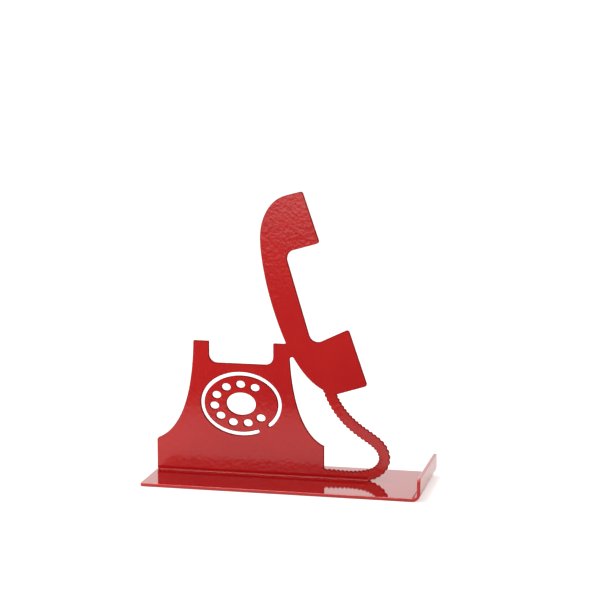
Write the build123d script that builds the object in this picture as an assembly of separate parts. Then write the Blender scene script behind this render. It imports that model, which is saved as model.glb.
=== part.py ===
"""Desk stand for a smartphone, cut from sheet steel as a retro rotary telephone.

Two powder-coated sheets make the stand:
  base_plate       lies on the table, with a lip turned up at its right end for the phone's edge
  telephone_panel  stands along the base, with a foot flange that is spot-welded to it
                   and a fine bead that fills the crease below the bend

Frame: X runs along the base towards the lip, Y runs from the front to the back, Z is up.
The origin is on the table, under the middle of the base. Units are millimetres.
"""
from build123d import *
from math import cos, pi, radians, sin, sqrt
import os

# ---- sheet and base plate ----
SHEET = 1.2                 # coated thickness of both sheets
BASE_LENGTH = 100.0         # left edge to the outer face of the lip
BASE_DEPTH = 38.0
BASE_CORNER = 1.0           # corner radius seen from above, and at the top of the lip
LIP_HEIGHT = 8.2            # table to the lip's top edge
LIP_BEND = 3.0              # outer radius of the lip's bend

# ---- panel and its foot flange ----
PANEL_FRONT_Y = 1.0         # front face of the panel
PANEL_BEND = 1.6            # outer radius of the bend between panel and foot
FOOT_DEPTH = 10.0           # front face of the panel to the back edge of the foot
FOOT_CORNER = 2.5
FOOT_RIGHT_X = 28.0         # the foot ends where the cord lifts off the base
SEAM_RADIUS = 0.45          # hollow of the bead that fills the crease below the bend
SEAM_INSET = 0.5            # the bead starts this far from the left end of the bend
WELD_XS = (-41.0, -18.0, 5.0, 22.5)
WELD_RADIUS = 2.0
WELD_DIMPLE = 0.12

# ---- telephone body: half widths are measured from its centre line ----
BODY_X = -18.1
BODY_LEFT_HALF = 31.3       # at the foot
BODY_RIGHT_HALF = 30.25
BODY_SHOULDER_Z = 12.9      # top of the upright foot, where the flare starts
BODY_TOP_Z = 49.3           # top of the cradle prongs
BODY_TOP_HALF = 17.5
FLARE_UPPER = (17.9, 30.0)  # half width and height of the flare curve's control points
FLARE_LOWER = (22.0, 16.5)
CRADLE_HALF = 11.8          # half width of the notch between the prongs
CRADLE_Z = 41.5
CRADLE_RADIUS = 3.0

# ---- rotary dial, all ovals about one centre ----
DIAL_Z = 26.9
RING_OUTER = (14.85, 11.6)  # half width and half height of the ring slot
RING_INNER = (13.55, 10.25)
RING_START = -45.4          # the slot runs anticlockwise from here
RING_SWEEP = 344.0          # and leaves one bridge that carries the dial
HUB_HOLE = (5.4, 4.1)
FINGER_HOLE = (1.65, 1.32)
FINGER_ORBIT = (9.9, 7.1)
FINGER_COUNT = 9
FINGER_FIRST = 59.0         # degrees, anticlockwise from +X
FINGER_STEP = 32.25

# ---- line that the phone's back rests on ----
REST_LEAN = 19.0            # degrees back from upright
REST_X = 39.9               # where the line meets the table

# ---- handset, in its own frame: (distance behind the rest line, height along it) ----
MOUTH_BOTTOM = 37.5
MOUTH_TOP = 58.6
EAR_BOTTOM = 90.6
EAR_TOP = 109.7
BACK_POINTS = ((17.6, 42.9), (22.0, 53.6), (23.6, 70.0), (21.4, 92.8), (17.8, 103.0), (11.5, 109.0))
BACK_LOWER_END = (12.3, 37.8)
BACK_UPPER_END = (6.5, 110.1)
GRIP_LOWER = (14.4, 56.9)   # inner corners of the hand opening
GRIP_UPPER = (13.0, 91.2)
GRIP_RADIUS = 3.2
CUP_RADIUS = 1.0            # corners of the ear and mouth pieces
APEX_RADIUS = 0.85          # where body and handset part, below the prong
NECK_RADIUS = 0.5           # and above it

# ---- coiled cord: a flat ribbon with scalloped edges ----
CORD_ROUTE = (
    (13.2, 35.8), (15.9, 28.9), (22.0, 21.5), (28.1, 17.1), (32.7, 13.2),
    (33.9, 8.7), (31.5, 4.9), (27.2, 3.0), (20.0, 2.35), (10.0, 2.5),
)
CORD_VALLEY = 1.6           # half width between two scallops
CORD_CREST = 2.08           # half width at the crest of a scallop
SCALLOP_PITCH = 1.6
CORD_GAP = 0.08             # the free cord stays this clear of the base plate

BASE_TOP = SHEET
FOOT_TOP = BASE_TOP + SHEET
BEND_TOP = BASE_TOP + PANEL_BEND
PANEL_PLANE = Plane(origin=(0, PANEL_FRONT_Y, 0), x_dir=(1, 0, 0), z_dir=(0, -1, 0))


def on_rest_line(behind, along):
    """Panel coordinates (x, z) of a point given in the handset's frame."""
    lean = radians(REST_LEAN)
    x = REST_X - along * sin(lean) - behind * cos(lean)
    z = along * cos(lean) - behind * sin(lean)
    return (x, z)


def on_oval(half_axes, degrees):
    """Point on an oval about the dial's centre."""
    x = BODY_X + half_axes[0] * cos(radians(degrees))
    z = DIAL_Z + half_axes[1] * sin(radians(degrees))
    return (x, z)


def flare(side, half_at_foot):
    """Concave side of the body, from the prong's top down to the shoulder."""
    ends = ((BODY_TOP_HALF, BODY_TOP_Z), FLARE_UPPER, FLARE_LOWER, (half_at_foot, BODY_SHOULDER_Z))
    return Bezier(*[(BODY_X + side * half, z) for half, z in ends])


def body_outline():
    """Telephone body with its two prongs, down to the top of the bend."""
    left = flare(-1, BODY_LEFT_HALF)
    right = flare(1, BODY_RIGHT_HALF)
    left_foot = BODY_X - BODY_LEFT_HALF
    right_foot = BODY_X + BODY_RIGHT_HALF
    rim = Polyline(left @ 0, right @ 0)
    foot = Polyline(left @ 1, (left_foot, BEND_TOP), (right_foot, BEND_TOP), right @ 1)
    body = make_face([left, foot, right, rim])
    shoulder = body.vertices().sort_by_distance((left_foot, BODY_SHOULDER_Z))[0]
    body = fillet(shoulder, 1.0)
    notch_height = 2 * (BODY_TOP_Z - CRADLE_Z)
    notch = RectangleRounded(2 * CRADLE_HALF, notch_height, CRADLE_RADIUS)
    return body - Pos(BODY_X, CRADLE_Z + notch_height / 2) * notch


def handset_outline():
    """Lifted handset: ear piece, grip and mouthpiece, with flat ends on the rest line."""
    points = [BACK_LOWER_END, *BACK_POINTS, BACK_UPPER_END]
    back = Spline(*[on_rest_line(*point) for point in points])
    ends = (BACK_UPPER_END, (0, EAR_TOP), (0, EAR_BOTTOM), GRIP_UPPER, GRIP_LOWER,
            (0, MOUTH_TOP), (0, MOUTH_BOTTOM), BACK_LOWER_END)
    front = Polyline(*[on_rest_line(*point) for point in ends])
    handset = make_face([back, front])
    for corner in (GRIP_LOWER, GRIP_UPPER):
        vertex = handset.vertices().sort_by_distance(on_rest_line(*corner))[0]
        handset = fillet(vertex, GRIP_RADIUS)
    for along in (MOUTH_BOTTOM, MOUTH_TOP, EAR_BOTTOM, EAR_TOP):
        vertex = handset.vertices().sort_by_distance(on_rest_line(0, along))[0]
        handset = fillet(vertex, CUP_RADIUS)
    return handset


def cord_outline():
    """Ribbon along the cord's route, with one scallop a pitch on both edges."""
    route = Spline(*CORD_ROUTE)
    count = round(route.length / SCALLOP_PITCH)
    pitch = route.length / count

    def edge_point(distance, half_width):
        middle = route.position_at(distance, PositionMode.LENGTH)
        along = route.tangent_at(distance, PositionMode.LENGTH)
        return middle + Vector(-along.Y, along.X) * half_width

    edges = []
    for side in (1, -1):
        for index in range(count):
            valley = edge_point(index * pitch, side * CORD_VALLEY)
            crest = edge_point((index + 0.5) * pitch, side * CORD_CREST)
            next_valley = edge_point((index + 1) * pitch, side * CORD_VALLEY)
            edges.append(ThreePointArc(valley, crest, next_valley))
    for distance in (0, route.length):
        edges.append(Line(edge_point(distance, CORD_VALLEY), edge_point(distance, -CORD_VALLEY)))
    return make_face(edges)


def degrees_of(length):
    """Angle that a short length takes up on the ring slot."""
    return length / RING_OUTER[1] * 180 / pi


def dial_cutouts():
    """Ring slot, hub hole and the row of finger holes."""
    ring = Ellipse(*RING_OUTER) - Ellipse(*RING_INNER)
    ring = Pos(BODY_X, DIAL_Z) * ring
    middle = tuple((outer + inner) / 2 for outer, inner in zip(RING_OUTER, RING_INNER))
    slot_half = (RING_OUTER[0] - RING_INNER[0]) / 2
    start = RING_START + degrees_of(slot_half)
    stop = RING_START + RING_SWEEP - degrees_of(slot_half)
    reach = [2 * half for half in RING_OUTER]
    bridge = Polyline((BODY_X, DIAL_Z), on_oval(reach, stop), on_oval(reach, start), close=True)
    cutouts = ring - make_face(bridge)
    for angle in (start, stop):
        cutouts += Pos(*on_oval(middle, angle)) * Circle(slot_half)
    cutouts += Pos(BODY_X, DIAL_Z) * Ellipse(*HUB_HOLE)
    for index in range(FINGER_COUNT):
        angle = FINGER_FIRST + index * FINGER_STEP
        cutouts += Pos(*on_oval(FINGER_ORBIT, angle)) * Ellipse(*FINGER_HOLE)
    return cutouts


def soften(face, near, radius):
    """Round the inner corner of the face that is nearest to a point."""
    vertex = face.vertices().sort_by_distance(near)[0]
    return fillet(vertex, radius)


def panel_outline():
    """The whole cut sheet above the bend, in the panel's plane."""
    outline = body_outline() + handset_outline()
    outline = soften(outline, on_rest_line(23.0, 58.0), APEX_RADIUS)
    outline = soften(outline, (BODY_X + BODY_TOP_HALF, BODY_TOP_Z), NECK_RADIUS)
    bent_width = FOOT_RIGHT_X + BASE_LENGTH
    below_bend = Pos(FOOT_RIGHT_X - bent_width / 2, 0) * Rectangle(bent_width, 2 * BEND_TOP)
    under_cord = Rectangle(2 * BASE_LENGTH, 2 * (BASE_TOP + CORD_GAP))
    outline += cord_outline() - below_bend - under_cord
    return outline - dial_cutouts()


def seam():
    """Bead along the crease, hollow between the base and the bend that it touches."""
    bend_y = PANEL_FRONT_Y + PANEL_BEND
    reach = 2 * sqrt(PANEL_BEND * SEAM_RADIUS)
    toe = (bend_y - reach, BASE_TOP)
    outside = Pos(*toe) * Pos(0, SEAM_RADIUS) * Circle(SEAM_RADIUS)
    share = PANEL_BEND / (PANEL_BEND + SEAM_RADIUS)
    touch = (bend_y - share * reach, BEND_TOP - share * (PANEL_BEND - SEAM_RADIUS))
    filled = make_face(Polyline(toe, touch, (bend_y, BEND_TOP), (bend_y, BASE_TOP), close=True))
    filled -= Pos(bend_y, BEND_TOP) * Circle(PANEL_BEND - SHEET / 2)
    left_x = BODY_X - BODY_LEFT_HALF + SEAM_INSET
    return extrude(Plane.YZ.offset(left_x) * (filled - outside), FOOT_RIGHT_X - left_x)


def foot():
    """Bend and flange that carry the panel, with the dimples of the spot welds."""
    left_x = BODY_X - BODY_LEFT_HALF
    length = FOOT_RIGHT_X - left_x
    bend_y = PANEL_FRONT_Y + PANEL_BEND
    back_y = PANEL_FRONT_Y + FOOT_DEPTH
    inner = PANEL_BEND - SHEET
    outer_arc = CenterArc((bend_y, BEND_TOP), PANEL_BEND, 180, 90)
    inner_arc = CenterArc((bend_y, BEND_TOP), inner, 180, 90)
    upper = Line(outer_arc @ 0, inner_arc @ 0)
    flange = Polyline(outer_arc @ 1, (back_y, BASE_TOP), (back_y, FOOT_TOP), inner_arc @ 1)
    section = Plane.YZ.offset(left_x) * make_face([outer_arc, upper, inner_arc, flange])
    solid = extrude(section, length)
    back_corners = solid.edges().filter_by(Axis.Z).group_by(Axis.Y)[-1]
    solid = fillet(back_corners, FOOT_CORNER)
    weld_y = (bend_y + back_y) / 2
    for weld_x in WELD_XS:
        solid -= Pos(weld_x, weld_y, FOOT_TOP) * Cylinder(WELD_RADIUS, 2 * WELD_DIMPLE)
    return solid


def telephone_panel():
    """Upright silhouette with its bend and foot, one sheet."""
    upright = extrude(PANEL_PLANE * panel_outline(), -SHEET)
    return upright + foot() + seam()


def base_plate():
    """Flat plate with the phone's lip turned up at the right."""
    left_x = -BASE_LENGTH / 2
    right_x = BASE_LENGTH / 2
    centre = (right_x - LIP_BEND, LIP_BEND)
    outer_arc = CenterArc(centre, LIP_BEND, 270, 90)
    inner_arc = CenterArc(centre, LIP_BEND - SHEET, 270, 90)
    lip = Polyline(outer_arc @ 1, (right_x, LIP_HEIGHT), (right_x - SHEET, LIP_HEIGHT), inner_arc @ 1)
    plate = Polyline(inner_arc @ 0, (left_x, BASE_TOP), (left_x, 0), outer_arc @ 0)
    section = make_face([outer_arc, lip, inner_arc, plate])
    profile_plane = Plane(origin=(0, -BASE_DEPTH / 2, 0), x_dir=(1, 0, 0), z_dir=(0, -1, 0))
    solid = extrude(profile_plane * section, -BASE_DEPTH)
    left_corners = solid.edges().filter_by(Axis.Z).group_by(Axis.X)[0]
    lip_corners = solid.edges().filter_by(Axis.X).group_by(Axis.Z)[-1]
    return fillet(left_corners + lip_corners, BASE_CORNER)


os.makedirs("parts", exist_ok=True)
export_step(base_plate(), "parts/base_plate.step")
export_step(telephone_panel(), "parts/telephone_panel.step")
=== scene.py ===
"""Looks of a sheet-steel phone stand cut as a retro rotary telephone, on a pale studio floor."""
import bpy
import math
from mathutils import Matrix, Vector


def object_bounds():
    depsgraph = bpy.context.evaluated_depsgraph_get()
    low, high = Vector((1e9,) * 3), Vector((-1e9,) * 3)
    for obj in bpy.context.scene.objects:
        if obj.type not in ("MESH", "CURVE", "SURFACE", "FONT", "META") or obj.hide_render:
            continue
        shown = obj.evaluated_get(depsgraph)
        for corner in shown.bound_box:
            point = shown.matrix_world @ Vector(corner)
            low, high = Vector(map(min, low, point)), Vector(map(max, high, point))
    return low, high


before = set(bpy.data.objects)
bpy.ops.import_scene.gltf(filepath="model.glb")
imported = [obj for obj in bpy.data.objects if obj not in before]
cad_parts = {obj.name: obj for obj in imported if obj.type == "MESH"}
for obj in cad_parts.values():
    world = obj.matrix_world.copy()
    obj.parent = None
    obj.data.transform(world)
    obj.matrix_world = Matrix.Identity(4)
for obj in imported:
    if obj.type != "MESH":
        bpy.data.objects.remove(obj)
cad_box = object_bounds()

MM = 0.001
TABLE = cad_box[0][2]       # height of the table top
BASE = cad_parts["base_plate"]
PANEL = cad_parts["telephone_panel"]

# ---- camera: in front of the stand, a little to the right and above ----
CAMERA_AZIMUTH = 12.48      # degrees to the right of the front
CAMERA_PITCH = 9.565        # degrees looking down
CAMERA_PLACE = (149.5 * MM, -658.7 * MM, 179.2 * MM)
SENSOR_WIDTH = 36.0         # millimetres, as the lens is
LENS = 117.0
CLIP_NEAR = 0.01
CLIP_FAR = 50.0

# ---- powder coat: two reds that drift into each other, over a leathery grain ----
RED = (0.262, 0.0025, 0.0032, 1.0)
RED_WARM = (0.280, 0.0045, 0.0036, 1.0)
DRIFT_SIZE = 22.0 * MM
COAT_IOR = 1.46
PEBBLE_SIZE = 1.1 * MM
PEBBLE_SMOOTHNESS = 0.8
WAVE_SIZE = 2.4 * MM
WAVE_SHARE = 0.55           # how much of the grain is waves, the rest is pebbles
PIMPLE_SIZE = 0.45 * MM
PIMPLE_SHARE = 0.12
PANEL_GRAIN = 0.075 * MM    # height of the grain
PANEL_ROUGHNESS = 0.13
BASE_GRAIN = 0.012 * MM
BASE_ROUGHNESS = 0.07
ROUGHNESS_SPREAD = 0.2      # share by which the pimples vary the roughness

# ---- cut edges: rounded by the coat, which is dull and dark there; the base's long edges also get a painted shadow and a painted highlight ----
EDGE_RADIUS = 0.22 * MM
EDGE_SEGMENTS = 3
EDGE_ANGLE = 50.0           # degrees between two faces that meet in a rounded edge
WELD_REACH = 0.002 * MM     # joins the corners that two faces have in the same place
# dull dark red of the thin coat on cut edges, also used as the painted contact shadow along the base's
# lowest line
CUT_EDGE_AND_SHADOW_RED = (0.15, 0.001, 0.001, 1.0)
EDGE_RED_WORN = (0.19, 0.003, 0.003, 1.0)
EDGE_ROUGHNESS = 0.9
EDGE_SHINE = 0.1            # specular level
SPECK_SIZE = 0.6 * MM
CUT_FACING = 0.5            # a face that turns less than this to the front or back is a cut edge
UPRIGHT_FROM = TABLE + 2.9 * MM    # the panel is upright above this height
BEND_FROM = TABLE + 2.75 * MM      # the bend lies below this height
FOOT_RIGHT = 28.05 * MM            # and left of this, as the foot does
PAINTED_HIGHLIGHT_RED = (0.42, 0.045, 0.035, 1.0)    # painted highlight: a lighter line along the top of the base's long edges
PAINTED_SHADOW_HEIGHT = 0.7 * MM         # height of the painted contact shadow, which darkens the base's long edges towards the table

# ---- studio light ----
FRONT_LIGHT = 1.2           # strength of the surroundings on the camera's side
BACK_LIGHT = 1.75           # behind the stand
SIDE_SHADE = 1.0            # the right side
TOP_SHADE = 0.75            # the tent's roof, round the top light
TENT_COLOUR = (1.0, 0.985, 0.97, 1.0)
KEY_POWER = 1.5
KEY_PLACE = (-0.28, -0.30, 0.06)
KEY_SIZE = 0.15
TOP_POWER = 4.6
TOP_PLACE = (-0.2, -0.1, 0.95)
TOP_SIZE = 0.3
LIGHTS_AIM = (0.0, 0.0, 0.04)
FLAG_STRENGTH = 0.2         # dark card on the table, seen in the upper part of the panel
REFLECTOR_STRENGTH = 3.0    # low bright card, seen in the grain
CARD_COLOUR = (1.0, 0.97, 0.94, 1.0)

# ---- floor, lit from below too, so that shadows stay faint ----
FLOOR_SIZE = 6.0
FLOOR_COLOUR = (0.62, 0.59, 0.57, 1.0)
FLOOR_ROUGHNESS = 0.6
FLOOR_SHINE = 0.2
FLOOR_GLOW_COLOUR = (1.0, 0.985, 0.98, 1.0)
FLOOR_GLOW = 0.48


def link(tree, source, target):
    tree.links.new(source, target)


def new_material(name):
    """A material with its node tree and its shader."""
    material = bpy.data.materials.new(name)
    material.use_nodes = True
    tree = material.node_tree
    return material, tree, tree.nodes["Principled BSDF"]


def add_object(name, data):
    """A new object in the scene, round a mesh, light or camera."""
    thing = bpy.data.objects.new(name, data)
    bpy.context.scene.collection.objects.link(thing)
    return thing


def noise(tree, place, size, detail):
    """Noise in the object's own space, with lumps of a given size."""
    texture = tree.nodes.new("ShaderNodeTexNoise")
    texture.inputs["Scale"].default_value = 1.0 / size
    texture.inputs["Detail"].default_value = detail
    link(tree, place.outputs["Object"], texture.inputs["Vector"])
    return texture.outputs["Fac"]


def blend(tree, kind, factor, first, second):
    """Mix node between two sockets or constants; the factor is a socket or a number too."""
    mix = tree.nodes.new("ShaderNodeMix")
    mix.data_type = kind
    for name, value in (("Factor", factor), ("A", first), ("B", second)):
        socket = next(item for item in mix.inputs if item.name == name and item.enabled)
        if isinstance(value, bpy.types.NodeSocket):
            link(tree, value, socket)
        else:
            socket.default_value = value
    return next(item for item in mix.outputs if item.enabled)


def remap(tree, value, low, high, new_low, new_high):
    """Smooth step from one range to another."""
    step = tree.nodes.new("ShaderNodeMapRange")
    step.interpolation_type = "SMOOTHSTEP"
    ends = {"From Min": low, "From Max": high, "To Min": new_low, "To Max": new_high}
    for name, number in ends.items():
        step.inputs[name].default_value = number
    link(tree, value, step.inputs["Value"])
    return step.outputs["Result"]


def rising(tree, value, low, high):
    """0 below a range and 1 above it."""
    return remap(tree, value, low, high, 0.0, 1.0)


def absolute(tree, value):
    size = tree.nodes.new("ShaderNodeMath")
    size.operation = "ABSOLUTE"
    link(tree, value, size.inputs[0])
    return size.outputs["Value"]


def split(tree, vector):
    """X, Y and Z of a vector, as a dictionary of sockets."""
    parts = tree.nodes.new("ShaderNodeSeparateXYZ")
    link(tree, vector, parts.inputs["Vector"])
    return parts.outputs


def base_edge_shadow_and_highlight(tree, place):
    """Masks of the base's long edges: a painted contact shadow along their lowest line, and a painted
    highlight along their rounded top.
    """
    normal = split(tree, place.outputs["Normal"])
    facing = absolute(tree, normal["Y"])
    height = split(tree, place.outputs["Object"])["Z"]
    # painted contact shadow: the front and back faces darken towards the table
    low = remap(tree, height, TABLE, TABLE + PAINTED_SHADOW_HEIGHT, 1.0, 0.0)
    dark = blend(tree, "FLOAT", low, 0.0, rising(tree, facing, 0.3, 0.8))
    # painted highlight on the rounded top of the long edges
    upward = rising(tree, normal["Z"], 0.15, 0.5)
    painted_highlight = blend(tree, "FLOAT", upward, 0.0, rising(tree, facing, 0.15, 0.5))
    return dark, painted_highlight


def add_grain(tree, place, shader, fine, grain_height):
    """Smooth pebbles with creases between them, waves under them and fine pimples on top."""
    pebbles = tree.nodes.new("ShaderNodeTexVoronoi")
    pebbles.feature = "SMOOTH_F1"
    pebbles.inputs["Scale"].default_value = 1.0 / PEBBLE_SIZE
    pebbles.inputs["Smoothness"].default_value = PEBBLE_SMOOTHNESS
    link(tree, place.outputs["Object"], pebbles.inputs["Vector"])
    waves = noise(tree, place, WAVE_SIZE, 3.0)
    height = blend(tree, "FLOAT", WAVE_SHARE, pebbles.outputs["Distance"], waves)
    height = blend(tree, "FLOAT", PIMPLE_SHARE, height, fine)
    bump = tree.nodes.new("ShaderNodeBump")
    bump.inputs["Strength"].default_value = 1.0
    bump.inputs["Distance"].default_value = grain_height
    link(tree, height, bump.inputs["Height"])
    link(tree, bump.outputs["Normal"], shader.inputs["Normal"])


def powder_coat(name, grain_height, roughness, edge_shadow_and_highlight=None):
    """Glossy red powder coat: leathery orange peel and a faint drift of colour."""
    material, tree, shader = new_material(name)
    shader.inputs["IOR"].default_value = COAT_IOR
    shader.distribution = "GGX"
    place = tree.nodes.new("ShaderNodeTexCoord")
    fine = noise(tree, place, PIMPLE_SIZE, 2.0)
    drift = rising(tree, noise(tree, place, DRIFT_SIZE, 2.0), 0.3, 0.7)
    colour = blend(tree, "RGBA", drift, RED, RED_WARM)
    smoothest = (1.0 - ROUGHNESS_SPREAD) * roughness
    roughest = (1.0 + ROUGHNESS_SPREAD) * roughness
    gloss = blend(tree, "FLOAT", fine, smoothest, roughest)
    if edge_shadow_and_highlight:
        # on the base: a painted contact shadow along the lowest line of the long edges and a painted
        # highlight along their top
        dark, painted_highlight = edge_shadow_and_highlight(tree, place)
        # painted highlight
        colour = blend(tree, "RGBA", painted_highlight, colour, PAINTED_HIGHLIGHT_RED)
        # painted contact shadow, dull and dark
        colour = blend(tree, "RGBA", dark, colour, CUT_EDGE_AND_SHADOW_RED)
        gloss = blend(tree, "FLOAT", dark, gloss, EDGE_ROUGHNESS)
    link(tree, colour, shader.inputs["Base Color"])
    link(tree, gloss, shader.inputs["Roughness"])
    add_grain(tree, place, shader, fine, grain_height)
    return material


def thin_coat(name):
    """The dull, darker coat that is left on a cut edge, with fine specks."""
    material, tree, shader = new_material(name)
    shader.inputs["Specular IOR Level"].default_value = EDGE_SHINE
    place = tree.nodes.new("ShaderNodeTexCoord")
    specks = rising(tree, noise(tree, place, SPECK_SIZE, 3.0), 0.3, 0.7)
    colour = blend(tree, "RGBA", specks, CUT_EDGE_AND_SHADOW_RED, EDGE_RED_WORN)
    link(tree, colour, shader.inputs["Base Color"])
    gloss = blend(tree, "FLOAT", specks, EDGE_ROUGHNESS, 1.0)
    link(tree, gloss, shader.inputs["Roughness"])
    return material


def everywhere(place):
    """Choice of corners for a sheet whose edges are all rounded."""
    return True


def above_the_bend(place):
    """True on the upright panel and its free cord, where the cut edges are rounded."""
    return place.z > BEND_FROM or place.x > FOOT_RIGHT


def dress(node, material, is_rounded):
    """Give a CAD node its coat, with rounded edges at the corners that is_rounded picks."""
    node.data.materials.clear()
    node.data.materials.append(material)
    corners = node.vertex_groups.new(name="rounded")
    chosen = [vertex.index for vertex in node.data.vertices if is_rounded(vertex.co)]
    corners.add(chosen, 1.0, "REPLACE")
    weld = node.modifiers.new("joined_faces", "WELD")
    weld.merge_threshold = WELD_REACH
    weld.vertex_group = corners.name
    bevel = node.modifiers.new("coated_edge", "BEVEL")
    bevel.width = EDGE_RADIUS
    bevel.segments = EDGE_SEGMENTS
    bevel.limit_method = "ANGLE"
    bevel.angle_limit = math.radians(EDGE_ANGLE)
    bevel.use_clamp_overlap = False
    bevel.loop_slide = False
    bevel.harden_normals = True


def dull_cut_edges(node, material):
    """Second coat for the cut edges of the upright sheet and for their rounding."""
    node.data.materials.append(material)
    for face in node.data.polygons:
        is_cut = abs(face.normal.y) < CUT_FACING
        face.material_index = int(is_cut and face.center.z > UPRIGHT_FROM)
    node.modifiers["coated_edge"].material = 1


def floor():
    """Pale seamless floor, level with the underside of the base."""
    bpy.ops.mesh.primitive_plane_add(size=FLOOR_SIZE, location=(0.0, 0.0, TABLE))
    plane = bpy.context.object
    plane.name = "studio_floor"
    material, _, shader = new_material("studio_floor")
    shader.inputs["Base Color"].default_value = FLOOR_COLOUR
    shader.inputs["Roughness"].default_value = FLOOR_ROUGHNESS
    shader.inputs["Specular IOR Level"].default_value = FLOOR_SHINE
    shader.inputs["Emission Color"].default_value = FLOOR_GLOW_COLOUR
    shader.inputs["Emission Strength"].default_value = FLOOR_GLOW
    plane.data.materials.append(material)


def softbox(name, place, size, power):
    """Square area light aimed at the stand."""
    light = bpy.data.lights.new(name, "AREA")
    light.size = size
    light.energy = power
    lamp = add_object(name, light)
    lamp.location = place
    aim = Vector(LIGHTS_AIM) - Vector(place)
    lamp.rotation_euler = aim.to_track_quat("-Z", "Y").to_euler()
    lamp.visible_camera = False
    return light


def card(name, low, high, strength):
    """Upright or lying card that only reflections see: a flag if it is dark, a reflector if bright."""
    low, high = Vector(low), Vector(high)
    mesh = bpy.data.meshes.new(name)
    corners = [low, (high.x, low.y, low.z), high, (low.x, high.y, high.z)]
    mesh.from_pydata([tuple(corner) for corner in corners], [], [(0, 1, 2, 3)])
    material, _, shader = new_material(name)
    shader.inputs["Base Color"].default_value = (0.0, 0.0, 0.0, 1.0)
    shader.inputs["Specular IOR Level"].default_value = 0.0
    shader.inputs["Emission Color"].default_value = CARD_COLOUR
    shader.inputs["Emission Strength"].default_value = strength
    mesh.materials.append(material)
    sheet = add_object(name, mesh)
    sheet.visible_camera = False
    sheet.visible_diffuse = False
    sheet.visible_shadow = False


def tent():
    """Surroundings: bright behind the stand, and dimmer in front, at the right and above."""
    world = bpy.data.worlds.new("studio")
    world.use_nodes = True
    tree = world.node_tree
    background = tree.nodes["Background"]
    background.inputs["Color"].default_value = TENT_COLOUR
    place = tree.nodes.new("ShaderNodeTexCoord")
    towards = split(tree, place.outputs["Generated"])
    strength = remap(tree, towards["Y"], -0.5, 0.5, FRONT_LIGHT, BACK_LIGHT)
    strength = blend(tree, "FLOAT", rising(tree, towards["X"], 0.3, 0.8), strength, SIDE_SHADE)
    strength = blend(tree, "FLOAT", rising(tree, towards["Z"], 0.2, 0.5), strength, TOP_SHADE)
    link(tree, strength, background.inputs["Strength"])
    bpy.context.scene.world = world


def studio():
    """Light tent with a key light that casts no shadow, a top light and two cards in front."""
    tent()
    key = softbox("key_light", KEY_PLACE, KEY_SIZE, KEY_POWER)
    key.use_shadow = False
    softbox("top_light", TOP_PLACE, TOP_SIZE, TOP_POWER)
    card("front_flag", (-0.6, -0.62, TABLE + MM), (0.6, -0.10, TABLE + MM), FLAG_STRENGTH)
    card("low_reflector", (-0.5, -0.62, 0.03), (0.5, -0.62, 0.15), REFLECTOR_STRENGTH)


def camera():
    """Camera at the height and angle of a product photograph."""
    data = bpy.data.cameras.new("camera")
    data.lens = LENS
    data.sensor_width = SENSOR_WIDTH
    data.clip_start = CLIP_NEAR
    data.clip_end = CLIP_FAR
    eye = add_object("camera", data)
    eye.location = CAMERA_PLACE
    eye.rotation_euler = (math.radians(90.0 - CAMERA_PITCH), 0.0, math.radians(CAMERA_AZIMUTH))
    bpy.context.scene.camera = eye


dress(PANEL, powder_coat("panel_coat", PANEL_GRAIN, PANEL_ROUGHNESS), above_the_bend)
dull_cut_edges(PANEL, thin_coat("panel_cut_edge"))
dress(BASE, powder_coat("base_coat", BASE_GRAIN, BASE_ROUGHNESS, base_edge_shadow_and_highlight), everywhere)
floor()
studio()
camera()
bpy.context.scene.view_settings.view_transform = "Standard"
